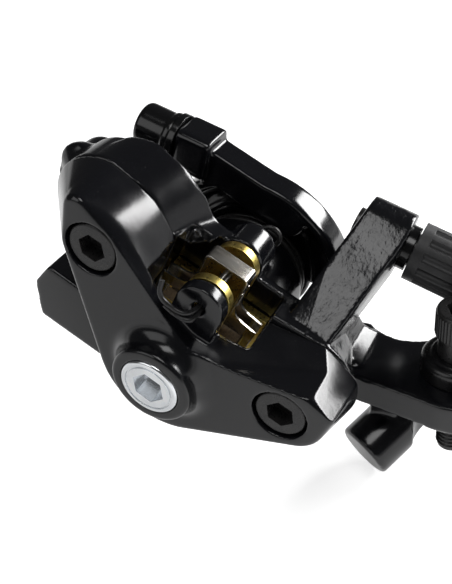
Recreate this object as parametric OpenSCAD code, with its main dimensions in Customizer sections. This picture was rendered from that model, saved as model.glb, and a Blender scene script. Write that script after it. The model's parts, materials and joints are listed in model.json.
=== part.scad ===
// Cable-pulled bicycle disc brake caliper with a lever-turned ball ramp and a screw-set fixed pad.
// +X runs along the line of the two mounting bolts, +Y points away from the wheel along its axle
// and +Z runs up the mounting bolts. The origin is midway between the bolts, on the plane of the
// frame's posts.
// The brake itself is built in the pads' frame: x along the rotor's edge, y along the axle from the
// rotor's middle plane, z outward from the wheel's centre, with the piston's axis at x = z = 0.

/* [Mounting] */
// Distance between the two mounting bolts
post_spacing = 74; // [70:0.5:80]
// From the rotor's middle plane to the mounting bolts
post_offset = 15.5; // [15:0.5:17]
// Diameter of the mounting bolts' shanks
mount_bolt_d = 6; // [5:0.5:6]
// Thickness of each stack of ball-seat washers
seat_stack_t = 4.4; // [3.6:0.2:5]
// Diameter of the ball-seat washers
seat_d = 14; // [13:0.5:15]
// Thickness of the ears that the bolts clamp
ear_t = 6.5; // [5:0.5:8]
// Radius of the right ear's round end
ear_r = 11.5; // [11:0.1:12]
// Length of the slots in the ears
ear_slot_l = 10; // [9:0.5:11]

/* [Brake position] */
// Piston axis to the mid point of the bolts, along X
piston_back = 12; // [9:0.5:15]
// Height of the piston axis over the posts
piston_h = 18; // [16:0.5:20]
// Lean of the pads' frame against the bolts, in degrees
pad_lean = 29; // [26:1:32]

/* [Body halves] */
// Thickness of the inner half, from the rotor's middle plane
inner_t = 12.5; // [11.5:0.5:14]
// Thickness of the outer half's flange
flange_t = 10; // [9:0.5:12]
// Radius of the body around the piston
core_r = 16.5; // [15.5:0.5:18]
// Rounding of the body's outer edges
edge_round = 1.1; // [0.8:0.1:1.4]
// Distance that the adjuster's boss stands proud
boss_h = 5; // [3.5:0.5:7]
// Radius of the adjuster's boss
boss_r = 8.4; // [7.8:0.2:9]
// Width of the rotor's slot
rotor_slot_w = 4.8; // [4.2:0.2:5.6]
// Radius of the rotor that the brake is made for
rotor_r = 80; // [70:5:110]
// Rotor edge to the piston axis, outward
rotor_reach = 8.5; // [7:0.5:9]
// Diameter of the two screws that join the halves
body_screw_d = 6; // [5:0.5:6]
// Diameter of those screws' heads
body_head_d = 10; // [9:0.5:10.5]

/* [Pads] */
// Width of the pads' backing plates
pad_w = 22; // [20:0.5:23]
// Height of the pads' backing plates without the tab
pad_h = 19; // [17:0.5:20]
// Thickness of the backing plates
plate_t = 1.8; // [1.6:0.1:2.2]
// Thickness of the friction blocks
lining_t = 3.2; // [1.5:0.1:3.6]
// Gap between the two linings at rest
lining_gap = 2.8; // [2.6:0.1:3.2]
// Height of the retaining pin over the piston axis
pin_z = 16.8; // [15.8:0.2:17.6]
// Diameter of the retaining pin
pin_d = 2.2; // [1.8:0.1:2.6]
// Radius of the pin's eyes on the body
eye_r = 4.8; // [4.4:0.2:5.6]

/* [Ball ramp] */
// Diameter of the moving piston
piston_d = 18; // [17:0.5:20]
// Thickness of the moving piston
piston_t = 6.4; // [6:0.2:7.5]
// Diameter of the balls
ball_d = 4.4; // [4:0.1:4.8]
// Radius of the circle that the balls sit on
ball_circle_r = 5.9; // [5.7:0.1:6.2]
// Rise of the ramps for each radian of lever turn
ramp_rise = 2.2; // [1.6:0.1:2.6]
// Full swing of the lever, in degrees
lever_swing = 28; // [20:1:32]
// Thickness of the cam's flange
cam_t = 4.6; // [4.4:0.2:5.4]
// Diameter of the cam's shaft
cam_shaft_d = 10; // [9:0.5:11]
// Running clearance of turning and sliding fits, on the radius
run_gap = 0.05; // [0.02:0.01:0.09]

/* [Lever and cable] */
// Cable line to the lever's axis
cable_arm = 22; // [21.5:0.5:24]
// Lean of the cable line in the pads' frame, in degrees
cable_lean = 10.5; // [8:0.5:12]
// Cable line to the mounting bolts, along the axle
cable_out = 11; // [11:0.5:12.5]
// Radius of the lever's rim
lever_r = 22.5; // [21:0.5:22.5]
// Distance of the cable's anchor back from the foot of the lever arm
anchor_back = 18; // [16:0.5:20]
// Distance of the housing stop forward from the foot of the lever arm
stop_fore = 29.2; // [27:0.1:31]
// Outer diameter of the adjuster's grip
grip_d = 12; // [11:0.2:12.2]
// Length of the adjuster's grip
grip_l = 17; // [14:0.5:20]
// Number of ribs on the grip
grip_ribs = 12; // [8:1:16]
// Diameter of the cable housing that the adjuster takes
housing_d = 5.2; // [4.8:0.1:5.6]
// Wire diameter of the lever's return spring
spring_wire_d = 1.2; // [1:0.1:1.2]
// Number of turns of the return spring
spring_turns = 2.25; // [1.75:0.25:2.25]

/* [Hidden] */
$fn = 48;
eps = 0.01;
// Standing gap between pieces that don't touch
gap = 0.3;
// Gap between neighbours that are clamped face to face
seat_gap = 0.02;
cable_y = post_offset + cable_out;

// Mounting stack, upward from the posts
ear_z0 = seat_stack_t;
ear_z1 = ear_z0 + ear_t;
bolt_neck_t = 4.6;
bolt_head_h = 5.8;
bolt_head_r = 4.6;
bolt_neck_r = bolt_head_r - 0.6;
head_z0 = ear_z1 + seat_stack_t + bolt_neck_t;
seat_floor = 1.4;
dome_r = seat_d/2 - 1.9;
bolt_reach = 9;
// The thread is drawn plain, at its pitch radius
bolt_thread_r = mount_bolt_d/2 - 0.325;
key_w = 5;
key_depth = 3.2;
slot_r = mount_bolt_d/2 + 0.35;
spot_r = seat_d/2 + 0.6;
mount_room = 30;

// Pads, outward from the rotor's middle plane
lining_y0 = lining_gap/2;
plate_y0 = lining_y0 + lining_t;
plate_y1 = plate_y0 + plate_t;
pocket_y = plate_y1 + 0.35;
rotor_clear = 1.2;
pocket_w = pad_w + 2*gap;
pin_bore_r = pin_d/2 + 0.2;
far_eye_y = flange_t + 3.5;
well_y = inner_t - 2.8;
well_z = 7.5;
pad_z0 = rotor_reach - pad_h + 0.5;
pad_z1 = pad_z0 + pad_h;
tab_r = eye_r - 0.2;
lining_w = pad_w - 5;

// Ball ramp stack, outward from the outer pad
piston_y0 = plate_y1 + seat_gap;
piston_y1 = piston_y0 + piston_t;
piston_r = piston_d/2;
ball_r = ball_d/2;
ball_y = piston_y1 + 0.55;
cam_y0 = piston_y1 + 1.1;
cam_y1 = cam_y0 + cam_t;
cam_r = piston_r - run_gap;
shaft_r = cam_shaft_d/2;
thrust_t = 1;
wall_y0 = cam_y1 + thrust_t + 2*seat_gap;
wall_t = 2.6;
wall_y1 = wall_y0 + wall_t;
bush_t = 1.2;
bush_proud = 0.9;
housing_r = piston_r + 5.2;
housing_round = 1.4;
ramp_angle = atan(ramp_rise/ball_circle_r);
ball_count = 3;

// Lever, outward from the housing's end wall
hub_y0 = wall_y1 + bush_proud + gap;
disc_t = 2.6;
disc_y0 = cable_y + 1.2;
hub_y1 = disc_y0 + disc_t + 1.2;
hub_r = shaft_r + 3.6;
rim_t = 2.2;
rim_y0 = cable_y - 3.1;
flat_depth = 1;
cup_cut = [-15, 65, 145];
seal_r0 = hub_r + gap;
spring_r = seal_r0 + 3.4;
spring_y0 = wall_y1 + gap + spring_wire_d/2;
spring_pitch = spring_wire_d + 0.45;
spring_rings = 8;
spring_leg = 3.4;

// Web of the ears, cut back under the return spring
web_y0 = 11 - post_offset;
web_y1 = wall_y1 - post_offset - 0.6;
web_half = spring_r + spring_leg + 1;

// Fixed side, inward from the inner pad
foot_r = 8;
foot_t = 2.4;
foot_y0 = plate_y1 + seat_gap;
foot_y1 = foot_y0 + foot_t;
foot_stem_r = 2.9;
plug_r = 6.1;
plug_y0 = foot_y1 + gap;
plug_y1 = inner_t + boss_h + 0.3;
plug_socket_w = 6;
plug_socket_h = 3.6;
plug_line_r = 4.7;
plug_line_w = 0.35;
foot_stem_l = plug_y1 - plug_socket_h - 1.2 - foot_y1;
ring_wire_r = 0.7;

// Outline of the body halves in the pads' frame: circles, each a centre and a radius, at the seam
// and at each half's outer face
core = [0, -1];
upper_lobe = [-27, 15];
upper_lobe_r = 10.5;
lower_lobe = [23.5, 8.5];
lower_lobe_r = 10;
upper_screw = [-21.75, 16.5];
lower_screw = [22.6, 8.75];
draft = 0.4;
face_core_r = core_r - 1.9;
upper_seam = [[upper_lobe, upper_lobe_r], [[-19, 19.5], 5], [core, core_r]];
lower_seam = [[lower_lobe, lower_lobe_r], [[30.2, 13.3], 1.8], [core, core_r]];
upper_near = [[[-26.6, 22.4], 3], [upper_screw, 6.6], [core, face_core_r]];
lower_near = [[[29.2, 14.5], 1.8], [[23.6, 9.5], 7.5], [core, face_core_r]];
upper_far = [[upper_lobe, upper_lobe_r - draft], [[-19.5, 21.5], 5.4], [core, core_r - draft]];
lower_back = [[[23.2, 9.2], 8.4], [core, core_r]];
lower_far = [[lower_screw, 6.2], [core, core_r - draft]];
seam_bevel = 0.25;

// Valley over the pads in the inner half, at its near face and at the seam
valley_top = 60;
valley_near = [
    [-30, valley_top], [-30, 29.4], [-5, 13.45], [-1, 11.1], [2.7, 9.9], [6.5, 10.1],
    [9.5, 10.95], [30, 18.9], [30, valley_top]
];
valley_seam = [
    [-24, valley_top], [-24, 31.6], [-9, 16.6], [-5, 13.7], [0, 12.9], [5, 13.5], [35, 20.4],
    [35, valley_top]
];

screw_bore_r = body_screw_d/2 + 0.15;
head_bore_r = body_head_d/2 + 0.45;
screw_head_h = 5.6;
head_sink = 6.2;
screw_bite = flange_t - 1.5;

// Neck of the right ear, behind the cable arm
neck_x = 24;
neck_y = 5.1;
neck_r = 9.9;

// Cast forms of the outer half that carry nothing
knuckle = [-35.6, 6, 11.2];
knuckle_r = 5.6;
knuckle_l = 11;
knuckle_round = 2.8;
block_corners = [[-33, -27.2], [-36.1, -19.8], [-34.6, -14.6], [-12, -14.6], [-12, -27.2]];
block_y = 1.5;
block_round = 1.4;
post_toe = [20.9, -8, -10.9];
post_turn = 60.1;
post_tilt = 68.3;
post_r = 6;
post_l = 15;
post_edge = 0.8;
rib = [5.5, 8];

// Cable line, in the pads' frame
cable_dir = [cos(cable_lean), 0, sin(cable_lean)];
cable_foot = [-cable_arm*sin(cable_lean), cable_y, cable_arm*cos(cable_lean)];
stop_l = 9.2;
stop_r = 6.6;
arm_lean = 3.7;
fillet_y = [-6, 5.5];
// Arm of the stop: its toe on the seam and its heel in the flange, from the axle's foot and across
// the cable's line, with their radii
arm_toe = [1, 12, 1];
arm_heel = [7, 5.5, 3];
stem_r = 3.4;
stem_end = 1.5;
collar_l = 1.8;
collar_r = 4.6;
wire_r = 1.1;
housing_seat = 4;
grip_round = 1.4;
flute_r = 1.1;

// Cable's end, outward from the lever's tip
tip_l = 8;
tip_half = 4.7;
tip_round = 1.6;
tip_y0 = anchor_back + tip_l/2;
// Middle of the tip, along and across the rotor's edge
tip_at = [
    -anchor_back*cos(cable_lean) - cable_arm*sin(cable_lean),
    cable_arm*cos(cable_lean) - anchor_back*sin(cable_lean)
];
collet_r = 5.6;
collet_t = 1.4;
collet_stem_r = 2.4;
collet_stem_l = 2;
nut_r = 4.8;
nut_l = 8.4;
nut_flange_r = 5.2;
nut_bore_r = 2.5;
nut_y0 = tip_y0 + collet_t + 2*seat_gap;

// Lever's fixing on the cam's shaft
hub_washer_r = 6;
hub_washer_t = 1.2;
hub_screw_r = 2.5;
hub_screw_l = 9;
hub_head_r = 5;
hub_head_h = 5;
hub_head_y = hub_y1 + hub_washer_t + 2*seat_gap;

// Places a child in the pads' frame
module at_pads()
    translate([-piston_back, -post_offset, piston_h]) rotate([0, pad_lean, 0]) children();

// Turns a child's Z axis to the axle's outward direction and lifts it to a height along it
module on_axle(x, y, z) translate([x, y, z]) rotate([-90, 0, 0]) children();

// Turns a child's Z axis along the cable, at a distance from the foot of the lever arm
module on_cable(d)
    translate(cable_foot + d*cable_dir) rotate([0, 90 - cable_lean, 0]) children();

// Both mounting bolts' places
module at_posts() for (s = [-1, 1]) translate([s*post_spacing/2, 0, 0]) children();

// Cut for a screw's hexagon socket, 1 mm longer than the socket is deep
module key_socket() cylinder(d = key_w/cos(30), h = key_depth + 1, $fn = 6);

// Cylinder with a rounded top edge
module capped(r, h, e) rotate_extrude() union() {
    square([r - e, h]);
    square([r, h - e]);
    translate([r - e, h - e]) intersection() {
        circle(e);
        square(e);
    }
}

// One unbroken six-sided tube along a line of points
module tube(p, r, up) {
    sides = 6;
    n = len(p);
    rings = [for (i = [0 : n - 1]) let (
        d = p[min(i + 1, n - 1)] - p[max(i - 1, 0)],
        v = d/norm(d),
        s0 = cross(v, up),
        s = s0/norm(s0),
        u = cross(s, v)
    ) for (k = [0 : sides - 1]) p[i] + r*(cos(k*60)*s + sin(k*60)*u)];
    polyhedron(rings, concat(
        [for (i = [0 : n - 2], k = [0 : sides - 1])
            [i*sides + k, i*sides + (k + 1)%sides, (i + 1)*sides + k]],
        [for (i = [0 : n - 2], k = [0 : sides - 1])
            [i*sides + (k + 1)%sides, (i + 1)*sides + (k + 1)%sides, (i + 1)*sides + k]],
        [for (k = [1 : sides - 2]) [0, k + 1, k]],
        [for (k = [1 : sides - 2]) [(n - 1)*sides, (n - 1)*sides + k, (n - 1)*sides + k + 1]]
    ));
}

// Web from a lobe to the piston's core, lofted from its outline at the seam to the one of its
// outer face, which lies on side s of the seam and has a rounded edge
module lobe_slab(seam, face, t, s) hull() {
    for (q = seam, a = [0, 1])
        on_axle(q[0][0], s*a*seam_bevel - (s > 0 ? 0 : eps), q[0][1])
            cylinder(r = q[1] - (1 - a)*seam_bevel, h = eps, $fn = 40);
    for (a = [0 : 22.5 : 90], q = face)
        on_axle(q[0][0], s*(t - edge_round*(1 - sin(a))) - (s > 0 ? eps : 0), q[0][1])
            cylinder(r = q[1] - edge_round*(1 - cos(a)), h = eps, $fn = 40);
}

// Room that the pads and the rotor take out of the body
module pad_room() {
    translate([-pocket_w/2, -pocket_y, pad_z0 - 30]) cube([pocket_w, 2*pocket_y, 60]);
    on_axle(0, -rotor_slot_w/2, rotor_reach - rotor_r)
        cylinder(r = rotor_r + rotor_clear, h = rotor_slot_w, $fn = 160);
}

// Valley that opens the top of the inner half, lofted from its near face to the seam
module valley() hull()
    for (q = [[-inner_t - boss_h, valley_near], [-inner_t, valley_near], [0, valley_seam]])
        on_axle(0, q[0], 0) mirror([0, 1]) linear_extrude(eps) polygon(q[1]);

// Hollow beside the near pin eye, where the split pin's tail lies
module pin_well() translate([-pocket_w/2, -well_y, well_z])
    cube([pocket_w/2 - eye_r, well_y - pocket_y + eps, valley_top]);

// Hole for the retaining pin, right through a half
module pin_bore(y0, y1) on_axle(0, y0, pin_z) cylinder(r = pin_bore_r, h = y1 - y0);

// Boss with the retaining pin's eye
module pin_eye(y0, y1) {
    on_axle(0, y0, pin_z) cylinder(r = eye_r, h = y1 - y0);
    translate([-eye_r, y0, foot_r]) cube([2*eye_r, y1 - y0, pin_z - foot_r]);
}

module inner_body() color("#17181a") at_pads() difference() {
    union() {
        difference() {
            union() {
                lobe_slab(upper_seam, upper_near, inner_t, -1);
                lobe_slab(lower_seam, lower_near, inner_t, -1);
                inner_boss();
            }
            valley();
            pin_well();
        }
        pin_eye(-well_y - eps, -pocket_y);
    }
    pad_room();
    pin_bore(-inner_t, 0);
    for (p = [upper_screw, lower_screw]) {
        on_axle(p[0], -inner_t - 1, p[1]) cylinder(r = screw_bore_r, h = inner_t + 2);
        on_axle(p[0], -inner_t - 1, p[1]) cylinder(r = head_bore_r, h = 1 + head_sink);
    }
    on_axle(0, -inner_t - boss_h - 1, 0) cylinder(r = plug_r + run_gap, h = inner_t + boss_h);
    on_axle(0, -foot_y1 - gap, 0) cylinder(r = foot_r + gap, h = foot_t + gap + 1);
}

// Adjuster's boss, blended into the face by a hollow fillet
module inner_boss() {
    flare = boss_h - 1.2;
    lip = 0.8;
    rotate([90, 0, 0]) translate([0, 0, inner_t - 1]) rotate_extrude() difference() {
        union() {
            square([boss_r + flare, 1 + flare]);
            square([boss_r - lip, 1 + boss_h]);
            square([boss_r, 1 + boss_h - lip]);
            translate([boss_r - lip, 1 + boss_h - lip]) circle(lip);
        }
        translate([boss_r + flare, 1 + flare]) circle(flare);
    }
}

module outer_body() color("#141517") difference() {
    union() {
        at_pads() {
            lobe_slab(upper_seam, upper_far, flange_t, 1);
            lobe_slab(lower_back, lower_far, flange_t, 1);
            housing();
            cable_stop();
            rear_knuckle();
            pin_eye(pocket_y, far_eye_y);
            left_block();
        }
        ears();
        arm_fillet();
        lower_post();
    }
    at_pads() {
        pad_room();
        pin_bore(0, far_eye_y + 1);
        for (p = [upper_screw, lower_screw])
            on_axle(p[0], -1, p[1]) cylinder(r = body_screw_d/2 + seat_gap, h = 1 + screw_bite + 0.5);
        on_axle(0, 0, 0) cylinder(r = piston_r + run_gap, h = wall_y0);
        on_axle(0, 0, 0) cylinder(r = shaft_r + bush_t, h = wall_y1 + 1);
        on_cable(stop_fore - 2*stop_l) cylinder(r = stem_r + run_gap, h = 3*stop_l);
    }
    at_posts() ear_slot();
}

// Round housing of the ball ramp
module housing() on_axle(0, 0, 0) capped(housing_r, wall_y1, housing_round);

// Cast arm that carries the cable housing's stop, and leans back from it down to its root
module cable_stop() hull() {
    on_cable(stop_fore - stop_l) cylinder(r = stop_r, h = stop_l, $fn = 40);
    on_cable(stop_fore - stop_l - arm_lean) for (q = [arm_toe, arm_heel])
        translate([cable_arm - q[1], q[0] - cable_y, 0]) cylinder(r = q[2], h = stop_l, $fn = 32);
}

// Fillet between the arm's root and the top of the right ear
module arm_fillet() translate([-piston_back, fillet_y[1], ear_z1]) rotate([90, 0, 0])
    linear_extrude(fillet_y[1] - fillet_y[0])
        polygon([[24, -ear_t/2], [32, -ear_t/2], [32, 0], [28.4, 1.6], [26.6, 5], [24, 5]]);

// Both ears, drawn in plan: the right one necked behind the cable arm
module ears() translate([0, 0, ear_z0]) linear_extrude(ear_t) difference() {
    union() {
        for (s = [-1, 1]) translate([s*post_spacing/2, 0]) circle(ear_r);
        for (s = [-1, 1]) polygon([
            [-piston_back, web_y0], [s*post_spacing/2, -ear_r],
            [s*post_spacing/2, ear_r], [-piston_back + s*web_half, web_y1], [-piston_back, web_y1]
        ]);
    }
    translate([neck_x, neck_r + neck_y]) circle(neck_r);
}

// Block with a plain front face on the left ear's inner side
module left_block() hull() for (c = block_corners)
    on_axle(c[0], block_y, c[1]) cylinder(r = block_round, h = flange_t - block_y, $fn = 24);

// Round post under the right ear, and the rib that joins it to the ear
module lower_post() {
    translate(post_toe) rotate([0, post_tilt, post_turn]) translate([0, 0, post_l]) rotate([180, 0, 0])
        capped(post_r, post_l, post_edge);
    translate([post_toe[0], -rib[1]/2, post_toe[2] + post_r])
        cube([rib[0], rib[1], ear_z0 + 1 - post_toe[2] - post_r]);
}

// Round end of the casting behind the upper lobe
module rear_knuckle() on_axle(knuckle[0], knuckle[1], knuckle[2])
    capped(knuckle_r, knuckle_l, knuckle_round);

// Slot for a mounting bolt, long across the wheel's plane so that the caliper can be centred, and
// the room above and below it for the washers, the bolt's head and the frame's post
module ear_slot() {
    travel = ear_slot_l - 2*slot_r;
    for (s = [-1, 1]) translate([0, s*travel/2, ear_z0 - 1]) cylinder(r = slot_r, h = ear_t + 2);
    translate([-slot_r, -travel/2, ear_z0 - 1]) cube([2*slot_r, travel, ear_t + 2]);
    translate([0, 0, ear_z1]) cylinder(r = spot_r, h = mount_room);
    translate([0, 0, -mount_room]) cylinder(r = spot_r, h = mount_room + ear_z0);
}

module body_screws() color("#0d0d0e") at_pads() for (p = [upper_screw, lower_screw]) difference() {
    union() {
        on_axle(p[0], -inner_t + head_sink - seat_gap, p[1]) rotate([180, 0, 0])
            capped(body_head_d/2, screw_head_h, 0.5);
        on_axle(p[0], -inner_t + head_sink - 1, p[1])
            cylinder(r = body_screw_d/2, h = inner_t - head_sink + 1 + screw_bite);
    }
    on_axle(p[0], -inner_t + head_sink - screw_head_h - 1, p[1]) key_socket();
}

module adjuster_plug() color("#c9ccd0") at_pads() difference() {
    on_axle(0, -plug_y0, 0) rotate([180, 0, 0]) capped(plug_r, plug_y1 - plug_y0, 0.6);
    on_axle(0, -plug_y1 - 1, 0) cylinder(d = plug_socket_w/cos(30), h = 1 + plug_socket_h, $fn = 6);
    on_axle(0, -foot_y1 - foot_stem_l - gap, 0) cylinder(r = foot_stem_r + run_gap, h = foot_stem_l + 1);
    on_axle(0, -inner_t - ring_wire_r, 0) ring_cut(plug_r, ring_wire_r);
    on_axle(0, -plug_y1 - eps, 0) rotate_extrude()
        translate([plug_line_r, 0]) square([plug_line_w, plug_line_w + eps]);
}

// Groove for a rubber ring around a plug or piston
module ring_cut(r, w) rotate_extrude() translate([r - w, 0]) square([2*w, 2*w]);

// Rubber ring that fills such a groove
module ring_seal(r, w) rotate_extrude()
    translate([r - w + seat_gap, seat_gap]) square([w - 2*seat_gap, 2*w - 2*seat_gap]);

module adjuster_ring() color("#101010") at_pads()
    on_axle(0, -inner_t - ring_wire_r, 0) ring_seal(plug_r, ring_wire_r);

module inner_foot() color("#8d9094") at_pads() {
    on_axle(0, -foot_y1, 0) cylinder(r = foot_r, h = foot_t);
    on_axle(0, -foot_y1 - foot_stem_l, 0) cylinder(r = foot_stem_r, h = foot_stem_l + 1);
}

// Backing plate with its rounded tab and pin hole, from a distance off the rotor's middle plane
module pad_plate(y0) difference() {
    union() {
        on_axle(0, y0, 0) linear_extrude(plate_t) difference() {
            translate([-pad_w/2, -pad_z1]) square([pad_w, pad_h]);
            for (s = [-1, 1]) translate([s*pad_w/2, -pad_z0]) rotate(45) square(4, center = true);
        }
        on_axle(0, y0, pin_z) cylinder(r = tab_r, h = plate_t);
        translate([-tab_r, y0, pad_z1 - 1]) cube([2*tab_r, plate_t, pin_z - pad_z1 + 1]);
    }
    on_axle(0, y0 - 1, pin_z) cylinder(r = pin_d/2 + 0.4, h = plate_t + 2);
}

// Friction block with its lower corners cut off
module pad_lining(y0) on_axle(0, y0, 0) linear_extrude(lining_t) difference() {
    translate([-lining_w/2, -rotor_reach]) square([lining_w, rotor_reach - pad_z0 - 1]);
    for (s = [-1, 1]) translate([s*lining_w/2, -pad_z0 - 1]) rotate(45) square(5, center = true);
}

module inner_pad_plate() color("#c79a3a") at_pads() pad_plate(-plate_y1);
module outer_pad_plate() color("#c79a3a") at_pads() pad_plate(plate_y0);
module inner_pad_lining() color("#5b4632") at_pads() pad_lining(-plate_y0);
module outer_pad_lining() color("#5b4632") at_pads() pad_lining(lining_y0);

// Strip of sheet bent along a line of points
module bent_strip(pts, t) polygon(concat(
    [for (p = pts) p],
    [for (i = [len(pts) - 1 : -1 : 0]) pts[i] + t*strip_normal(pts, i)]
));
function strip_normal(p, i) = let (
    a = p[max(i - 1, 0)],
    b = p[min(i + 1, len(p) - 1)],
    d = (b - a)/norm(b - a)
) [-d[1], d[0]];

module pad_spring() color("#b9b3a6") at_pads() {
    sheet = 0.5;
    half = 2.2;
    crown = pin_z + 5;
    wing_z = rotor_reach + 2.4;
    wing_x = pad_w/2 - 0.4;
    bridge = 4.65;
    bend = 0.7;
    line = concat(
        [[-wing_x, wing_z], [-bridge - 2*bend, wing_z + bend], [-bridge - bend, wing_z + 2*bend]],
        [[-bridge, wing_z + 4*bend], [-bridge, crown - bend], [-bridge + bend, crown]],
        [[bridge - bend, crown], [bridge, crown - bend], [bridge, wing_z + 4*bend]],
        [[bridge + bend, wing_z + 2*bend], [bridge + 2*bend, wing_z + bend], [wing_x, wing_z]]
    );
    translate([0, half, 0]) rotate([90, 0, 0]) linear_extrude(2*half) bent_strip(line, sheet);
    for (s = [-1, 1], m = [-1, 1])
        translate([s*(wing_x - 0.9), m*(half - sheet/2), wing_z + 0.5]) rotate([m*5, 0, 0])
            translate([-0.7, -sheet/2, -16]) cube([1.4, sheet, 16.2]);
}

module split_pin() color("#1b1b1c") at_pads() {
    near = -inner_t + 1;
    far = far_eye_y + gap + pin_d/2;
    loop_r = 2.7;
    bend = 5.2;
    loop_lean = 25;
    tube(concat(
        [[-bend - 2.4, near - 0.4, pin_z + 3.2], [-bend, near - 1.2, pin_z + 0.8], [-1, near - 0.8, pin_z]],
        [[0, near + 0.6, pin_z], [0, far, pin_z]],
        [for (a = [-75 : 30 : 225]) [loop_r*cos(a), far + 1 + (loop_r + loop_r*sin(a))*sin(loop_lean),
            pin_z + 1.2 + (loop_r + loop_r*sin(a))*cos(loop_lean)]]
    ), pin_d/2, [1, 0.1, 1]);
}

module moving_piston() color("#a9adb2") at_pads() difference() {
    on_axle(0, piston_y0, 0) cylinder(r = piston_r, h = piston_t);
    on_axle(0, piston_y0 + 1.6, 0) ring_cut(piston_r, ring_wire_r);
    at_balls() sphere(r = ball_r + seat_gap);
}

module piston_ring() color("#101010") at_pads()
    on_axle(0, piston_y0 + 1.6, 0) ring_seal(piston_r, ring_wire_r);

// Places of the balls' centres
module at_balls() for (i = [0 : ball_count - 1])
    rotate([0, i*360/ball_count, 0]) translate([ball_circle_r, ball_y, 0]) children();

module ramp_balls() color("#e2e4e6") at_pads() at_balls() sphere(r = ball_r);

module ramp_cam() color("#8f9398") at_pads() difference() {
    union() {
        on_axle(0, cam_y0, 0) cylinder(r = cam_r, h = cam_t);
        on_axle(0, cam_y1 - 1, 0) cylinder(r = shaft_r, h = hub_y1 - 0.4 - cam_y1 + 1);
    }
    at_balls() ramp_cut();
    translate([shaft_r - flat_depth, hub_y0, -shaft_r]) cube([shaft_r, hub_y1, 2*shaft_r]);
    on_axle(0, hub_y1 - hub_screw_l - 2, 0) cylinder(r = hub_screw_r, h = hub_screw_l + 3);
}

// Pocket with a sloping floor, along the chord from the ball's deep end to its place at full swing
module ramp_cut() {
    run = 2*ball_circle_r*sin(lever_swing/2);
    half = ball_r + 0.25;
    deep = ball_r + run_gap;
    rotate([0, -lever_swing/2, 0]) rotate([ramp_angle, 0, 0]) {
        for (z = [0, run]) on_axle(0, -cam_t, z) cylinder(r = half, h = cam_t + deep);
        translate([-half, -cam_t, 0]) cube([2*half, cam_t + deep, run]);
    }
}

module thrust_washer() color("#b08d4c") at_pads() on_axle(0, cam_y1 + seat_gap, 0) difference() {
    cylinder(r = cam_r - gap, h = thrust_t);
    translate([0, 0, -1]) cylinder(r = shaft_r + gap, h = thrust_t + 2);
}

module cam_bush() color("#b08d4c") at_pads() on_axle(0, wall_y0, 0) difference() {
    cylinder(r = shaft_r + bush_t, h = wall_t + bush_proud);
    translate([0, 0, -1]) cylinder(r = shaft_r + run_gap, h = wall_t + bush_proud + 2);
}

module dust_seal() color("#0e0e0e") at_pads() on_axle(0, wall_y1 + seat_gap, 0) difference() {
    cylinder(r = seal_r0 + 1.4, h = 2.6);
    translate([0, 0, -1]) cylinder(r = seal_r0, h = 5);
}

// Points along the return spring's wire
spring_steps = round(spring_turns*spring_rings);
spring_points = concat(
    [[spring_r + spring_leg, spring_y0, 0]],
    [for (i = [0 : spring_steps]) let (a = i*360/spring_rings)
        [spring_r*cos(a), spring_y0 + i*spring_pitch/spring_rings, -spring_r*sin(a)]],
    [let (a = spring_steps*360/spring_rings, y = spring_y0 + spring_steps*spring_pitch/spring_rings)
        [(spring_r + spring_leg)*cos(a), y, -(spring_r + spring_leg)*sin(a)]]
);
function turn_gap(p) = min([for (i = [1 : len(p) - 2], j = [i + spring_rings - 2 : len(p) - 2])
    norm(p[i] - p[j])]);
echo(spring_gap = turn_gap(spring_points) - spring_wire_d);

module return_spring() color("#9a9da1") at_pads() tube(spring_points, spring_wire_d/2, [0, 1, 0]);

// Lever: hub, dished quadrant with a raised rim, and the block that holds the cable's end
module lever() color("#0f1011") at_pads() difference() {
    union() {
        on_axle(0, hub_y0, 0) cylinder(r = hub_r, h = hub_y1 - hub_y0);
        lever_cup();
        on_axle(0, disc_y0, 0) cylinder(r = hub_r + 5, h = disc_t);
        lever_tip();
    }
    on_axle(0, hub_y0 - 1, 0) difference() {
        cylinder(r = shaft_r + run_gap, h = hub_y1 - hub_y0 + 2);
        translate([shaft_r - flat_depth + run_gap, -shaft_r, -1]) cube([shaft_r, 2*shaft_r, hub_y1]);
    }
    on_cable(-tip_y0 - 1) cylinder(r = wire_r, h = tip_l + 4);
    on_cable(-tip_y0 - 1) cylinder(r = collet_stem_r, h = 1 + collet_stem_l + gap);
}

// Square tip with rounded edges along the cable, and the arm from it to the lever's rim
module lever_tip() {
    hull() on_cable(-tip_y0) for (x = [-1, 1], y = [-1, 1])
        translate([x, y, 0]*(tip_half - tip_round)) cylinder(r = tip_round, h = tip_l, $fn = 24);
    hull() for (c = [[tip_at[0], tip_at[1], tip_half - 1.3], [2, lever_r - tip_half, tip_half - 0.5]])
        on_axle(c[0], rim_y0, c[1]) cylinder(r = c[2], h = disc_y0 + disc_t - rim_y0, $fn = 32);
}

// Lever's dished quadrant, cut away on the side that the cable never reaches
module lever_cup() on_axle(0, rim_y0, 0) difference() {
    cylinder(r = lever_r, h = disc_y0 + disc_t - rim_y0, $fn = 96);
    translate([0, 0, -1]) cylinder(r = lever_r - rim_t, h = disc_y0 - rim_y0 + 1, $fn = 96);
    translate([0, 0, -1]) linear_extrude(hub_y1 - rim_y0)
        polygon([[0, 0], for (a = cup_cut) 2*lever_r*[cos(a), sin(a)]]);
}

module lever_washer() color("#9a9da1") at_pads() on_axle(0, hub_y1 + seat_gap, 0) difference() {
    cylinder(r = hub_washer_r, h = hub_washer_t);
    translate([0, 0, -1]) cylinder(r = hub_screw_r + gap, h = hub_washer_t + 2);
}

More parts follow.
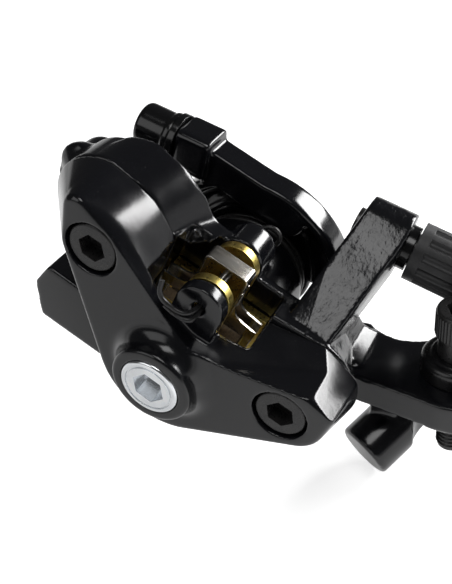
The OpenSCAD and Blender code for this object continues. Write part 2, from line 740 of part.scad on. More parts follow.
module lever_screw() color("#0d0d0e") at_pads() difference() {
    union() {
        on_axle(0, hub_head_y, 0) capped(hub_head_r, hub_head_h, 0.5);
        on_axle(0, hub_y1 - hub_screw_l, 0) cylinder(r = hub_screw_r - seat_gap, h = hub_screw_l + 2);
    }
    on_axle(0, hub_head_y + hub_head_h - key_depth, 0) key_socket();
}

module anchor_collet() color("#1a1b1c") at_pads() difference() {
    union() {
        on_cable(-tip_y0 - seat_gap) rotate([180, 0, 0]) cylinder(r = collet_r, h = collet_t);
        on_cable(-tip_y0 - collet_t) cylinder(r = collet_stem_r - seat_gap, h = collet_t + collet_stem_l);
    }
    on_cable(-tip_y0 - 2*collet_t) cylinder(r = wire_r, h = 4*collet_t + collet_stem_l);
}

module anchor_nut() color("#131415") at_pads() difference() {
    on_cable(-nut_y0) rotate([180, 0, 0]) union() {
        capped(nut_r, nut_l, nut_r/4);
        cylinder(r = nut_flange_r, h = collet_t);
    }
    on_cable(-nut_y0 - nut_l/2) cylinder(r = nut_bore_r, h = nut_l);
    on_cable(-nut_y0 - nut_l - 1) cylinder(r = wire_r, h = nut_l + 2);
}

module barrel_stem() color("#2a2b2d") at_pads() difference() {
    on_cable(stop_fore - stop_l - stem_end)
        cylinder(r = stem_r, h = stop_l + stem_end + collar_l + grip_l - 1);
    on_cable(stop_fore - stop_l - 2*stem_end) cylinder(r = wire_r, h = stop_l + collar_l + grip_l);
    on_cable(stop_fore + collar_l + housing_seat) cylinder(r = housing_d/2, h = grip_l);
}

module barrel_locknut() color("#1c1d1f") at_pads() on_cable(stop_fore + seat_gap) difference() {
    cylinder(r = collar_r, h = collar_l - 2*seat_gap);
    translate([0, 0, -1]) cylinder(r = stem_r + run_gap, h = collar_l + 2);
}

module barrel_grip() color("#101112") at_pads() on_cable(stop_fore + collar_l + gap) difference() {
    capped(grip_d/2, grip_l, grip_round);
    translate([0, 0, -1]) cylinder(r = stem_r + run_gap, h = grip_l + 2);
    for (i = [0 : grip_ribs - 1]) rotate(i*360/grip_ribs)
        translate([grip_d/2 + flute_r/2, 0, 2*flute_r]) cylinder(r = flute_r, h = grip_l);
}

// Ball-seat washers above and below an ear: a cup with a domed washer in it
module seat_stack() for (z = [0, ear_z1]) translate([0, 0, z]) {
    translate([0, 0, seat_gap]) difference() {
        capped(seat_d/2, seat_stack_t - 2*seat_gap - gap, seat_d/2 - dome_r - 0.6);
        translate([0, 0, seat_floor]) cylinder(r = dome_r, h = seat_stack_t);
        translate([0, 0, -1]) cylinder(r = slot_r + 0.5, h = seat_stack_t);
    }
    translate([0, 0, seat_floor + 2*seat_gap]) difference() {
        cylinder(r = dome_r - run_gap, h = seat_stack_t - seat_floor - 3*seat_gap);
        translate([0, 0, -1]) cylinder(r = slot_r + 0.2, h = seat_stack_t);
    }
}

module seats_right() color("#232426") translate([post_spacing/2, 0, 0]) seat_stack();
module seats_left() color("#232426") translate([-post_spacing/2, 0, 0]) seat_stack();

module mount_bolts() color("#121213") at_posts() difference() {
    union() {
        cylinder(r = mount_bolt_d/2, h = head_z0 + 1);
        translate([0, 0, -bolt_reach]) cylinder(r = bolt_thread_r, h = bolt_reach + 1);
        translate([0, 0, ear_z1 + seat_stack_t + seat_gap]) cylinder(r = bolt_neck_r, h = bolt_neck_t);
        translate([0, 0, head_z0]) capped(bolt_head_r, bolt_head_h, 0.6);
    }
    translate([0, 0, head_z0 + bolt_head_h - key_depth]) key_socket();
}

inner_body();
outer_body();
body_screws();
adjuster_plug();
adjuster_ring();
inner_foot();
inner_pad_plate();
inner_pad_lining();
outer_pad_plate();
outer_pad_lining();
pad_spring();
split_pin();
moving_piston();
piston_ring();
ramp_balls();
ramp_cam();
thrust_washer();
cam_bush();
dust_seal();
return_spring();
lever();
lever_washer();
lever_screw();
anchor_collet();
anchor_nut();
barrel_stem();
barrel_grip();
barrel_locknut();
seats_right();
seats_left();
mount_bolts();
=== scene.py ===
"""Looks of a cable-pulled disc brake caliper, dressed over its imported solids."""
import json
import math

import bmesh
import bpy
from mathutils import Matrix, Vector

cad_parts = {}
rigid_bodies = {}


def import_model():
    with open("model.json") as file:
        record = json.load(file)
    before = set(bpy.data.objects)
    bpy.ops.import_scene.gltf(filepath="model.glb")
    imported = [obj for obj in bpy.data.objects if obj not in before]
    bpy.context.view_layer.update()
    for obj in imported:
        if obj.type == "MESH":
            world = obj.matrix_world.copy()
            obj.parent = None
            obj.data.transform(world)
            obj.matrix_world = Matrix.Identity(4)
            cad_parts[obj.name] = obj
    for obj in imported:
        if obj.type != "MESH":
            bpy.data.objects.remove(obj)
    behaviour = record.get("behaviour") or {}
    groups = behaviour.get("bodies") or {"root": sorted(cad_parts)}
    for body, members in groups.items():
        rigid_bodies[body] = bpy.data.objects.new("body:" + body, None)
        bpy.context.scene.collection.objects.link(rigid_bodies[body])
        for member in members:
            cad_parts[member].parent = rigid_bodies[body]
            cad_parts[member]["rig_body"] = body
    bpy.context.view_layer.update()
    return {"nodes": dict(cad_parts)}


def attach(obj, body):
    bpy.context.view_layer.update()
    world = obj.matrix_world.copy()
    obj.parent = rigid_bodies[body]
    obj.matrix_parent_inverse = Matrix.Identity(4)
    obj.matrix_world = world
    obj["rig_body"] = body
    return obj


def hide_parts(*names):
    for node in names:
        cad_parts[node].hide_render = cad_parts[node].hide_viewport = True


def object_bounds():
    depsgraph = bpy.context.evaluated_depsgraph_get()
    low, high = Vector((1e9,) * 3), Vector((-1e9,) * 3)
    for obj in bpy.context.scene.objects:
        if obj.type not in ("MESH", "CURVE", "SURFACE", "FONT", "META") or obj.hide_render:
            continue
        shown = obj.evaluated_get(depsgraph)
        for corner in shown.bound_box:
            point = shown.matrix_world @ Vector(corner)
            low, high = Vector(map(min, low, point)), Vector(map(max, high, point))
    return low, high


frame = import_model()

MM = 0.001

# Pads' frame, as in the part's source: x along the rotor's edge, y along the axle, z outward; in mm.
PAD_LEAN = math.radians(29)
PADS = (Matrix.Translation(Vector((-12, -15.5, 18)) * MM)
        @ Matrix.Rotation(PAD_LEAN, 4, "Y") @ Matrix.Scale(MM, 4))

# Place whose Z axis points outboard along the lever's axle.
AXLE = PADS @ Matrix.Rotation(-math.pi / 2, 4, "X")

# Where the cable arm's rough skin begins and is full, in metres along the mounting bolts' frame.
ARM_X, ARM_Z = (0.008, 0.012), (0.0112, 0.014)


# Materials


def new_finish(name, slot=None):
    """Material for a slot of the record; returns it with its node tree and surface shader."""
    finish = bpy.data.materials.new(name + "_finish")
    finish["slot"] = slot or name
    finish.use_nodes = True
    tree = finish.node_tree
    return finish, tree, tree.nodes["Principled BSDF"]


def add(tree, kind, **values):
    """Node with the given properties and input values."""
    node = tree.nodes.new("ShaderNode" + kind)
    for key, value in values.items():
        if hasattr(node, key):
            setattr(node, key, value)
        else:
            node.inputs[key.replace("_", " ")].default_value = value
    return node


def place(tree, stretch):
    """The piece's own coordinates in metres, turned to the pads' frame; stretch lengthens patterns."""
    coords = add(tree, "TexCoord")
    grid = add(tree, "Mapping", vector_type="TEXTURE")
    grid.inputs["Rotation"].default_value = (0, PAD_LEAN, 0)
    grid.inputs["Scale"].default_value = stretch
    tree.links.new(coords.outputs["Object"], grid.inputs["Vector"])
    return grid.outputs["Vector"]


def noise(tree, scale, detail, stretch=(1, 1, 1)):
    """Noise over the piece's own coordinates, scale in patches a metre."""
    cloud = add(tree, "TexNoise", Scale=scale, Detail=detail)
    tree.links.new(place(tree, stretch), cloud.inputs["Vector"])
    return cloud.outputs["Fac"]


def along(tree, axis):
    """Place along an axis of the mounting bolts' frame in metres."""
    coords = add(tree, "TexCoord")
    parts = add(tree, "SeparateXYZ")
    tree.links.new(coords.outputs["Object"], parts.inputs["Vector"])
    return parts.outputs[axis]


def spread(tree, value, low, high, start=0.3, end=0.7):
    """Maps a value's range from start to end to low..high."""
    ramp = add(tree, "MapRange")
    for slot, number in zip(("From Min", "From Max", "To Min", "To Max"), (start, end, low, high)):
        ramp.inputs[slot].default_value = number
    tree.links.new(value, ramp.inputs["Value"])
    return ramp.outputs["Result"]


def times(tree, first, second):
    """Product of two values."""
    product = add(tree, "Math", operation="MULTIPLY")
    tree.links.new(first, product.inputs[0])
    tree.links.new(second, product.inputs[1])
    return product.outputs[0]


def tint(tree, share, colour_a, colour_b):
    """Colour between two, by a share from 0 to 1."""
    blend = add(tree, "Mix", data_type="RGBA")
    blend.inputs[6].default_value = (*colour_a, 1)
    blend.inputs[7].default_value = (*colour_b, 1)
    tree.links.new(share, blend.inputs["Factor"])
    return blend.outputs[2]


def relief(tree, height, depth, below):
    """Bump of the given depth in metres, on top of another normal."""
    bump = add(tree, "Bump", Strength=1.0, Distance=depth)
    tree.links.new(height, bump.inputs["Height"])
    tree.links.new(below, bump.inputs["Normal"])
    return bump.outputs["Normal"]


def soft_edge(tree, radius):
    """Normal that rounds sharp edges by a radius in metres."""
    return add(tree, "Bevel", samples=6, Radius=radius).outputs["Normal"]


def coated(name, colour, dusty, gloss, dull, slot=None, crinkle_depth=0.0, edge=0.25 * MM):
    """Stove paint on a casting: orange peel, dust, and waves and crinkles on the cable arm."""
    peel_depth, wave_depth, gloss_index = 5e-6, 1.2 * MM, 1.5
    finish, tree, shader = new_finish(name, slot)
    specks = spread(tree, noise(tree, 2600, 4), 0, 1, 0.66, 0.76)
    tree.links.new(tint(tree, specks, colour, dusty), shader.inputs["Base Color"])
    tree.links.new(spread(tree, noise(tree, 140, 5), gloss, dull), shader.inputs["Roughness"])
    normal = relief(tree, noise(tree, 260, 2), 2 * peel_depth, soft_edge(tree, edge))
    normal = relief(tree, noise(tree, 1100, 2), peel_depth, normal)
    if crinkle_depth:
        on_arm = times(tree, spread(tree, along(tree, "Z"), 0, 1, *ARM_Z),
                       spread(tree, along(tree, "X"), 0, 1, *ARM_X))
        waves, crinkles = noise(tree, 70, 1), noise(tree, 800, 4, (1, 2, 1))
        normal = relief(tree, times(tree, waves, on_arm), wave_depth, normal)
        normal = relief(tree, times(tree, crinkles, on_arm), crinkle_depth, normal)
    tree.links.new(normal, shader.inputs["Normal"])
    shader.inputs["IOR"].default_value = gloss_index
    return finish


def plated(name, colour, stain, bright, dull, grain=1800, grain_depth=6e-7, stretch=(1, 1, 1),
           metallic=1.0):
    """Metal or plating with a fine grain and cloudy stains."""
    edge = 0.15 * MM
    finish, tree, shader = new_finish(name)
    shader.inputs["Metallic"].default_value = metallic
    clouds = spread(tree, noise(tree, 220, 5), 0, 1)
    tree.links.new(tint(tree, clouds, colour, stain), shader.inputs["Base Color"])
    fine = noise(tree, grain, 3, stretch)
    tree.links.new(spread(tree, fine, bright, dull), shader.inputs["Roughness"])
    tree.links.new(relief(tree, fine, grain_depth, soft_edge(tree, edge)), shader.inputs["Normal"])
    return finish


def matt(name, colour, pale, low, high, grain=1500, grain_depth=8e-6):
    """Rubber, moulded plastic or friction block: matt, with a coarse grain."""
    edge = 0.2 * MM
    finish, tree, shader = new_finish(name)
    clouds = noise(tree, grain, 6)
    tree.links.new(tint(tree, spread(tree, clouds, 0, 1), colour, pale), shader.inputs["Base Color"])
    tree.links.new(spread(tree, noise(tree, 400, 3), low, high), shader.inputs["Roughness"])
    tree.links.new(relief(tree, clouds, grain_depth, soft_edge(tree, edge)), shader.inputs["Normal"])
    return finish


PAINT, DUST = (0.004, 0.0042, 0.0055), (0.02, 0.02, 0.022)

body_paint = coated("body_paint", PAINT, DUST, 0.12, 0.2)
arm_paint = coated("arm_paint", PAINT, DUST, 0.13, 0.22, slot="body_paint", crinkle_depth=1.6e-4)
lever_paint = coated("lever_paint", PAINT, DUST, 0.09, 0.15)
seat_paint = coated("seat_paint", (0.005, 0.005, 0.0055), (0.03, 0.03, 0.03), 0.2, 0.32,
                    edge=0.2 * MM)
black_alloy = coated("black_alloy", (0.004, 0.004, 0.0045), DUST, 0.12, 0.2)
black_steel = plated("black_steel", (0.018, 0.018, 0.019), (0.03, 0.029, 0.028), 0.24, 0.38,
                     metallic=0.3)
zinc_steel = plated("zinc_steel", (0.9, 0.92, 0.94), (0.74, 0.76, 0.78), 0.12, 0.24,
                    grain_depth=4e-7)
plain_steel = plated("plain_steel", (0.55, 0.56, 0.58), (0.46, 0.46, 0.47), 0.25, 0.42)
spring_steel = plated("spring_steel", (0.64, 0.62, 0.58), (0.52, 0.48, 0.42), 0.14, 0.26,
                      grain=4000, grain_depth=1.5e-6, stretch=(14, 1, 1))
pad_backing = plated("pad_backing", (0.74, 0.6, 0.18), (0.6, 0.42, 0.12), 0.24, 0.4)
ball_steel = plated("ball_steel", (0.8, 0.8, 0.82), (0.76, 0.76, 0.78), 0.04, 0.08,
                    grain_depth=2e-7)
bronze = plated("bronze", (0.55, 0.36, 0.14), (0.42, 0.27, 0.11), 0.26, 0.42)
friction = matt("friction", (0.055, 0.042, 0.03), (0.16, 0.11, 0.06), 0.75, 0.95,
                grain=2600, grain_depth=3e-5)
rubber = matt("rubber", (0.012, 0.012, 0.012), (0.02, 0.02, 0.02), 0.6, 0.8)
grip_plastic = matt("grip_plastic", (0.012, 0.012, 0.013), (0.02, 0.02, 0.021), 0.4, 0.55,
                    grain=2200, grain_depth=4e-6)


# Pieces


def finish_mesh(name, bm, finish, sharp=35):
    """Object from a bmesh, smooth except at edges sharper than the given angle."""
    bmesh.ops.recalc_face_normals(bm, faces=bm.faces)
    for face in bm.faces:
        face.smooth = True
    for edge in bm.edges:
        edge.smooth = len(edge.link_faces) == 2 and edge.calc_face_angle() < math.radians(sharp)
    mesh = bpy.data.meshes.new(name)
    bm.to_mesh(mesh)
    bm.free()
    if "custom_normal" in mesh.attributes:
        mesh.attributes.remove(mesh.attributes["custom_normal"])
    mesh.materials.clear()
    mesh.materials.append(finish)
    piece = bpy.data.objects.new(name, mesh)
    bpy.context.scene.collection.objects.link(piece)
    return piece


def dress(piece, node):
    """The piece shows in the node's stead and moves with its body."""
    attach(piece, frame["nodes"][node]["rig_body"])
    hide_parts(node)


def solid(node):
    """Copy of a solid's mesh with its loose triangles merged."""
    bm = bmesh.new()
    bm.from_mesh(frame["nodes"][node].data)
    bmesh.ops.remove_doubles(bm, verts=bm.verts, dist=2e-6)
    return bm


def join(bm, shape, turn):
    """Adds a shape, made in mm, to a mesh at its place."""
    bmesh.ops.recalc_face_normals(shape, faces=shape.faces)
    shape.transform(turn)
    mesh = bpy.data.meshes.new("shape")
    shape.to_mesh(mesh)
    shape.free()
    bm.from_mesh(mesh)
    bpy.data.meshes.remove(mesh)


def keep_shape(piece):
    """Turns a piece's modifiers into its mesh."""
    finish = piece.data.materials[0]
    shaped = piece.evaluated_get(bpy.context.evaluated_depsgraph_get())
    piece.data = bpy.data.meshes.new_from_object(shaped)
    piece.modifiers.clear()
    piece.data.materials.clear()
    piece.data.materials.append(finish)


def worn_round(piece, cell, passes):
    """Rounds a piece's edges: remeshed in cells of the given size and smoothed."""
    cells = piece.modifiers.new("cells", "REMESH")
    cells.mode, cells.voxel_size, cells.use_smooth_shade = "VOXEL", cell, True
    even = piece.modifiers.new("even", "SMOOTH")
    even.factor, even.iterations = 0.5, passes
    keep_shape(piece)


def soften(piece, start, end, radius, passes):
    """Smooths a piece further round a line of the pads' frame, less towards its ends and the radius."""
    fade = 1.5
    to_pads = PADS.inverted()
    start, line = Vector(start), Vector(end) - Vector(start)
    skin = piece.vertex_groups.new(name="skin")
    for vertex in piece.data.vertices:
        way = to_pads @ vertex.co - start
        along_line = way.dot(line) / line.length_squared
        apart = (way - line * along_line).length
        ends = min(along_line, 1 - along_line) * line.length / fade
        share = min(2 * (1 - apart / radius), ends, 1)
        if share > 0:
            skin.add([vertex.index], share, "REPLACE")
    even = piece.modifiers.new("even", "SMOOTH")
    even.factor, even.iterations, even.vertex_group = 0.5, passes, "skin"
    keep_shape(piece)
    piece.vertex_groups.clear()


def press(piece, start, end, point, rise_x, rise_y):
    """Presses a piece's skin, between two places along x of the pads' frame, down under a plane.

    The plane is given by a point and by its rise per mm along x and along y.
    """
    to_pads = PADS.inverted()
    x, y, z = point
    for vertex in piece.data.vertices:
        spot = to_pads @ vertex.co
        if start < spot.x < end:
            spot.z = min(spot.z, z + rise_x * (spot.x - x) + rise_y * (spot.y - y))
            vertex.co = PADS @ spot


def lay(piece, x_reach, y_reach, fade, height):
    """Lays a piece's upper skin on a height over the pads' frame, fading out over the reach's ends.

    Skin above the height is pressed down. Skin that faces up and lies little below it is raised.
    """
    start_stretch, most_lift, least_up = 4, 3, 0.3
    to_pads = PADS.inverted()
    turn = to_pads.to_3x3()
    for vertex in piece.data.vertices:
        spot = to_pads @ vertex.co
        inside = min((spot.x - x_reach[0]) / start_stretch, x_reach[1] - spot.x,
                     spot.y - y_reach[0], y_reach[1] - spot.y)
        if inside <= 0:
            continue
        lift = height(spot.x, spot.y) - spot.z
        if lift < 0 or (lift < most_lift and (turn @ vertex.normal).normalized().z > least_up):
            spot.z += min(inside / fade, 1) * lift
            vertex.co = PADS @ spot


def lobe_height(x, y, top_rise, valley_rise, valley_turn, lowest=0):
    """Height of the upper lobe in the pads' frame: a top that rolls over into the valley at the pads.

    The rises are those per mm along y, and valley_turn changes the valley's rise along x.
    """
    top_x, top_z, top_fall = -20, 24.65, 0.1
    valley_x, valley_z, valley_fall = -16.5, 23.0, 0.85
    blend = 2.6
    top = top_z - top_fall * (x - top_x) + top_rise * y
    ahead = x - valley_x
    valley = max(valley_z - valley_fall * ahead + (valley_rise + valley_turn * ahead) * y, lowest)
    share = max(blend - abs(top - valley), 0) / blend
    return min(top, valley) - share * share * blend / 4


def wire(points, radius):
    """Round wire along points of the pads' frame."""
    line = bpy.data.curves.new("line", "CURVE")
    line.dimensions, line.resolution_u = "3D", 8
    line.bevel_depth, line.bevel_resolution, line.use_fill_caps = radius, 4, True
    path = line.splines.new("BEZIER")
    path.bezier_points.add(len(points) - 1)
    for knot, point in zip(path.bezier_points, points):
        knot.co = point
        knot.handle_left_type = knot.handle_right_type = "AUTO"
    strand = bpy.data.objects.new("line", line)
    bpy.context.scene.collection.objects.link(strand)
    bm = bmesh.new()
    bm.from_mesh(strand.evaluated_get(bpy.context.evaluated_depsgraph_get()).to_mesh())
    bpy.data.objects.remove(strand)
    bpy.data.curves.remove(line)
    bmesh.ops.remove_doubles(bm, verts=bm.verts, dist=1e-4)
    bm.transform(PADS)
    return bm


def turned(profile, angle=math.tau, steps=96):
    """Shape turned about Z from a closed outline of (radius, height), from +X on."""
    bm = bmesh.new()
    corners = [bm.verts.new((radius, 0, height)) for radius, height in profile]
    face = bm.faces.new(corners)
    if angle == math.tau:
        edges = list(face.edges)
        bm.faces.remove(face)
        bmesh.ops.spin(bm, geom=corners + edges, cent=(0, 0, 0), axis=(0, 0, 1), angle=angle, steps=steps,
                       use_merge=True)
    else:
        bmesh.ops.spin(bm, geom=[face], cent=(0, 0, 0), axis=(0, 0, 1), angle=angle, steps=steps)
    return bm


def screw_thread(root, crest, pitch, length):
    """Ridge of a thread about Z, from its place up."""
    steps_a_turn = 24
    bm = bmesh.new()
    flank = 0.4 * pitch
    corners = [bm.verts.new(spot) for spot in ((root, 0, -flank), (crest, 0, 0), (root, 0, flank))]
    steps = round(steps_a_turn * length / pitch)
    bmesh.ops.spin(bm, geom=[bm.faces.new(corners)], cent=(0, 0, 0), axis=(0, 0, 1),
                   angle=math.tau * length / pitch, steps=steps, dvec=(0, 0, length / steps))
    return bm


def knurl(radius, low, high, count, size):
    """Small ribs round a head, along Z."""
    bm = bmesh.new()
    shape = Matrix.Diagonal((size, size, high - low, 1)) @ Matrix.Rotation(math.pi / 4, 4, "Z")
    for i in range(count):
        turn = Matrix.Rotation(math.tau * i / count, 4, "Z")
        spot = turn @ Matrix.Translation((radius, 0, (low + high) / 2))
        bmesh.ops.create_cube(bm, size=1, matrix=spot @ shape)
    return bm


def shift(bm, made, way):
    """Moves the vertices that an operator has just made."""
    knots = [part for part in made["geom"] if isinstance(part, bmesh.types.BMVert)]
    bmesh.ops.translate(bm, vec=way, verts=knots)


DRESSED = {
    "body_screws": ("joining_screws", black_steel),
    "adjuster_plug": ("bright_plug", zinc_steel),
    "adjuster_ring": ("plug_ring", rubber),
    "inner_foot": ("pad_foot", plain_steel),
    "inner_pad_plate": ("near_backing", pad_backing),
    "outer_pad_plate": ("far_backing", pad_backing),
    "inner_pad_lining": ("near_lining", friction),
    "outer_pad_lining": ("far_lining", friction),
    "moving_piston": ("ramp_piston", plain_steel),
    "piston_ring": ("piston_seal", rubber),
    "ramp_balls": ("bearing_balls", ball_steel),
    "ramp_cam": ("cam_and_shaft", plain_steel),
    "thrust_washer": ("thrust_ring", bronze),
    "cam_bush": ("shaft_bush", bronze),
    "dust_seal": ("dust_ring", rubber),
    "lever_washer": ("hub_washer", plain_steel),
    "lever_screw": ("hub_screw", black_steel),
    "anchor_collet": ("cable_collet", black_alloy),
    "barrel_stem": ("threaded_stem", black_steel),
    "barrel_grip": ("ribbed_grip", grip_plastic),
    "barrel_locknut": ("stop_collar", black_alloy),
}
for node, (name, finish) in DRESSED.items():
    dress(finish_mesh(name, solid(node), finish), node)

WORN = {
    "anchor_nut": ("cable_nut", black_alloy, 0.2 * MM, 12),
    "seats_right": ("right_seats", seat_paint, 0.2 * MM, 5),
    "seats_left": ("left_seats", seat_paint, 0.2 * MM, 5),
}
for node, (name, finish, cell, passes) in WORN.items():
    piece = finish_mesh(name, solid(node), finish)
    worn_round(piece, cell, passes)
    dress(piece, node)


def castings():
    """The two body halves: worn edges, a roll over the upper lobes, a facet at the lower lobe's end."""
    saddle = 19.4
    knob_r, knob_l, knob_x, knob_z, knob_foot = 5.2, 9, -36.2, 14.5, 2

    inner = finish_mesh("inner_casting", solid("inner_body"), body_paint)
    worn_round(inner, 0.3 * MM, 5)
    lay(inner, x_reach=(-30, -8), y_reach=(-12, 3), fade=2, height=lambda x, y: lobe_height(
        x, y, top_rise=0, valley_rise=0.14, valley_turn=-0.0184))
    soften(inner, start=(-20.5, -14, 24), end=(-17, 1.5, 24), radius=6, passes=20)
    press(inner, start=18, end=40, point=(29.9, -11.4, 15.6), rise_x=-0.3, rise_y=-0.02)
    dress(inner, "inner_body")

    knob = [(0, 0)]
    for degrees in range(90, -1, -10):
        a = math.radians(degrees)
        knob.append((knob_r * math.sin(a), knob_l - knob_r + knob_r * math.cos(a)))
    bm = solid("outer_body")
    join(bm, turned(knob), AXLE @ Matrix.Translation((knob_x, -knob_z, knob_foot)))
    outer = finish_mesh("outer_casting", bm, arm_paint)
    worn_round(outer, 0.43 * MM, 4)
    lay(outer, x_reach=(-32, -4.2), y_reach=(-3, 20), fade=2, height=lambda x, y: lobe_height(
        x, y, top_rise=0.2, valley_rise=0.35, valley_turn=0, lowest=saddle))
    soften(outer, start=(-7.5, -1, saddle), end=(-7.5, 13, saddle), radius=4.5, passes=40)
    soften(outer, start=(-17, -1.5, 24), end=(-17, 13, 26), radius=6, passes=20)
    soften(outer, start=(knob_x, -2, knob_z), end=(knob_x, 14, knob_z), radius=8, passes=20)
    dress(outer, "outer_body")


def lever():
    """Lever with a hollow fillet inside its rim and a low ring on its disc."""
    rim, floor, hollow = 20.4, 27.9, 3.4
    ring_in, ring_out, ring_h = 14.1, 15.7, 1
    start, sweep = math.radians(147), math.radians(196)
    fillet = [(rim, floor)]
    for step in range(9):
        a = math.radians(90 - 90 * step / 8)
        fillet.append((rim - hollow + hollow * math.cos(a), floor - hollow + hollow * math.sin(a)))
    ring = [(ring_in, floor), (ring_in, floor - ring_h), (ring_out, floor - ring_h), (ring_out, floor)]
    bm = solid("lever")
    for outline in (fillet, ring):
        join(bm, turned(outline, sweep, 64), AXLE @ Matrix.Rotation(start, 4, "Z"))
    piece = finish_mesh("actuating_lever", bm, lever_paint)
    worn_round(piece, 0.25 * MM, 60)
    dress(piece, "lever")


def pad_spring():
    """Sheet spring over the pads: a bridge between the tabs, bent down into blades and prongs."""
    half, crown, foot, bridge, bend, sheet = 1.85, 21.8, 12, 4.65, 1.0, 0.45
    prong_x, prong_top, prong_drop, prong_w, prong_l = 9.7, 10.5, 7.4, 1.4, 15
    blade = [(4.3, 18), (4.75, 18), (4.75, 14.6), (5.1, 13.3), (6.0, 12.3), (7.4, 11.8), (10.6, 11.4),
             (10.6, 8.8), (7.6, 9.2), (4.3, 10.2)]
    bm = bmesh.new()
    line = [(-bridge, foot), (-bridge, crown), (bridge, crown), (bridge, foot)]
    knots = [bm.verts.new((x, -half, z)) for x, z in line]
    edges = [bm.edges.new(pair) for pair in zip(knots, knots[1:])]
    shift(bm, bmesh.ops.extrude_edge_only(bm, edges=edges), (0, 2 * half, 0))
    bends = [edge for edge in bm.edges if len(edge.link_faces) == 2]
    bmesh.ops.bevel(bm, geom=bends, offset=bend, affect="EDGES", segments=8, profile=0.5, material=-1)
    bmesh.ops.recalc_face_normals(bm, faces=bm.faces)
    bmesh.ops.solidify(bm, geom=bm.faces[:], thickness=sheet)
    for side in (-1, 1):
        for edge in (-1, 1):
            y = edge * (half - sheet / 2)
            face = bm.faces.new([bm.verts.new((side * x, y, z)) for x, z in blade])
            shift(bm, bmesh.ops.extrude_face_region(bm, geom=[face]), (0, -edge * sheet, 0))
            prong = (Matrix.Translation((side * prong_x, edge * (half - sheet), prong_top))
                     @ Matrix.Rotation(math.radians(edge), 4, "X")
                     @ Matrix.Translation((0, 0, -prong_drop))
                     @ Matrix.Diagonal((prong_w, sheet, prong_l, 1)))
            bmesh.ops.create_cube(bm, size=1, matrix=prong)
    bm.transform(PADS)
    dress(finish_mesh("spreader_spring", bm, spring_steel), "pad_spring")


def split_pin():
    """Split pin: one wire folded at its loop, both strands through the eyes, and their bent tails."""
    near, far, height, loop, wire_r = -11.5, 14.6, 16.8, 2.1, 0.5
    lean, side = Vector((0.7, 0.25, 0.66)).normalized(), Vector((0.686, 0, -0.728))
    strand = wire_r * side
    axis = Vector((0, 0, height))
    points = [(-7.6, near - 0.4, height + 3.4), (-6.6, near - 1.2, height + 1.0),
              (-3.6, near - 1.2, height), (-1.2, near - 0.7, height + 0.2)]
    points += [axis - strand + Vector((0, y, 0)) for y in (near + 0.8, 0, far - 0.8)]
    middle = axis + Vector((0, far + 0.4, 0)) + lean * (loop + 0.4)
    for step in range(10):
        a = math.radians(-20 - 320 * step / 9)
        points.append(middle + loop * (side * math.sin(a) - lean * math.cos(a)))
    points += [axis + strand + Vector((0, y, 0)) for y in (far - 0.8, 0, near + 0.6)]
    points += [(0.1, near - 0.8, height - 0.5), (-2.6, near - 1.1, height - 1.1),
               (-5.2, near - 1.1, height - 0.7)]
    dress(finish_mesh("retaining_pin", wire(points, wire_r), black_steel, 60), "split_pin")


def return_spring():
    """Coiled spring under the lever, with a leg at each end."""
    radius, start, pitch, leg, turns, wire_r, steps = 12.3, 23.06, 1.65, 3.4, 2.25, 0.6, 24
    coil = []
    for step in range(round(steps * turns) + 1):
        a = math.tau * step / steps
        coil.append((radius * math.cos(a), start + pitch * step / steps, -radius * math.sin(a)))
    x, y, z = coil[-1]
    points = [(radius + leg, start, 0)] + coil + [(x, y, z - leg)]
    dress(finish_mesh("lever_spring", wire(points, wire_r), black_steel, 60), "return_spring")


def post_bolts():
    """Mounting bolts with knurled heads and threaded ends."""
    bolt_x, thread_start = 37, -8.6
    bm = solid("mount_bolts")
    for side in (-1, 1):
        turn = Matrix.Translation(Vector((bolt_x * side, 0, 0)) * MM) @ Matrix.Scale(MM, 4)
        join(bm, knurl(radius=4.5, low=20.2, high=25, count=44, size=0.36), turn)
        join(bm, screw_thread(root=2.6, crest=2.98, pitch=1.0, length=8.0),
             turn @ Matrix.Translation((0, 0, thread_start)))
    dress(finish_mesh("post_bolts", bm, black_steel), "mount_bolts")


castings()
lever()
pad_spring()
split_pin()
return_spring()
post_bolts()


# Studio


def studio_floor():
    """White ground under the lowest piece, which keeps the object's shadow."""
    seen_glow, mirrored_glow = 0.72, 0.36
    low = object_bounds()[0]
    bm = bmesh.new()
    bmesh.ops.create_grid(bm, x_segments=2, y_segments=2, size=3.0,
                          matrix=Matrix.Translation((0, 0, low.z - 0.2 * MM)))
    ground, tree, shader = new_finish("ground")
    shader.inputs["Base Color"].default_value = (0.9, 0.9, 0.9, 1)
    shader.inputs["Roughness"].default_value = 0.9
    glow = add(tree, "Emission")
    both = add(tree, "AddShader")
    seen = add(tree, "LightPath")
    through = add(tree, "Math", operation="MAXIMUM")
    tree.links.new(seen.outputs["Is Glossy Ray"], through.inputs[0])
    tree.links.new(seen.outputs["Is Transmission Ray"], through.inputs[1])
    level = add(tree, "Math", operation="MAXIMUM")
    tree.links.new(spread(tree, seen.outputs["Is Camera Ray"], 0, seen_glow, 0, 1), level.inputs[0])
    tree.links.new(spread(tree, through.outputs[0], 0, mirrored_glow, 0, 1), level.inputs[1])
    tree.links.new(level.outputs[0], glow.inputs["Strength"])
    tree.links.new(shader.outputs["BSDF"], both.inputs[0])
    tree.links.new(glow.outputs["Emission"], both.inputs[1])
    tree.links.new(both.outputs["Shader"], tree.nodes["Material Output"].inputs["Surface"])
    floor = finish_mesh("ground", bm, ground)


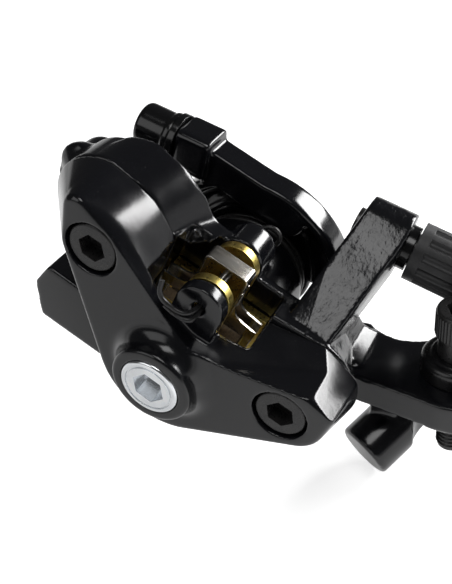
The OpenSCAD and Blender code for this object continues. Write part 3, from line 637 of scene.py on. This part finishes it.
def studio_sky():
    """Backdrop that is white to the camera; to all else it is pale at the ground and dark above."""
    low_level, high_level, fade_end = 0.9, 0.06, 0.16
    world = bpy.data.worlds.new("studio")
    world.use_nodes = True
    bpy.context.scene.world = world
    tree = world.node_tree
    back = tree.nodes["Background"]
    coords = add(tree, "TexCoord")
    parts = add(tree, "SeparateXYZ")
    tree.links.new(coords.outputs["Generated"], parts.inputs["Vector"])
    level = spread(tree, parts.outputs["Z"], low_level, high_level, 0.0, fade_end)
    seen = add(tree, "LightPath")
    white = add(tree, "Math", operation="MAXIMUM")
    tree.links.new(seen.outputs["Is Camera Ray"], white.inputs[0])
    tree.links.new(level, white.inputs[1])
    tree.links.new(white.outputs[0], back.inputs["Strength"])
    back.inputs["Color"].default_value = (1, 1, 1, 1)


def soft_box(name, azimuth, elevation, distance, width, height, power):
    """Area lamp aimed at the caliper; angles in degrees, azimuth from outboard towards +X."""
    middle = Vector((0, 0, 0.02))
    lamp = bpy.data.lights.new(name, "AREA")
    lamp.shape = "RECTANGLE"
    lamp.size, lamp.size_y = width, height
    lamp.energy = power
    box = bpy.data.objects.new(name, lamp)
    a, e = math.radians(azimuth), math.radians(elevation)
    aim = Vector((math.sin(a) * math.cos(e), math.cos(a) * math.cos(e), math.sin(e)))
    box.location = middle + aim * distance
    box.rotation_mode = "QUATERNION"
    box.rotation_quaternion = (-aim).to_track_quat("-Z", "Y")
    box.visible_camera = False
    bpy.context.scene.collection.objects.link(box)


def photo_camera():
    """Camera fitted to the photograph's 452 by 584 frame; its place in mm."""
    stand = Vector((60.09, -119.89, 117.29))
    data = bpy.data.cameras.new("photo_camera")
    data.lens, data.sensor_width = 49.315, 36
    data.clip_start, data.clip_end = 0.01, 20
    camera = bpy.data.objects.new("photo_camera", data)
    right = Vector((0.884, 0.458, -0.096)).normalized()
    back = Vector((0.423, -0.695, 0.581))
    back = (back - right * back.dot(right)).normalized()
    turn = Matrix((right, back.cross(right), back)).transposed().to_4x4()
    camera.matrix_world = Matrix.Translation(stand * MM) @ turn
    bpy.context.scene.collection.objects.link(camera)
    bpy.context.scene.camera = camera


photo_camera()
studio_floor()
studio_sky()
soft_box("window_strip", azimuth=40, elevation=24, distance=0.6, width=0.38, height=0.22, power=5.0)
soft_box("top_box", azimuth=145, elevation=70, distance=0.6, width=0.22, height=0.3, power=0.8)
soft_box("fill_box", azimuth=210, elevation=40, distance=0.8, width=0.5, height=0.5, power=1.0)

bpy.context.scene.view_settings.view_transform = "Standard"
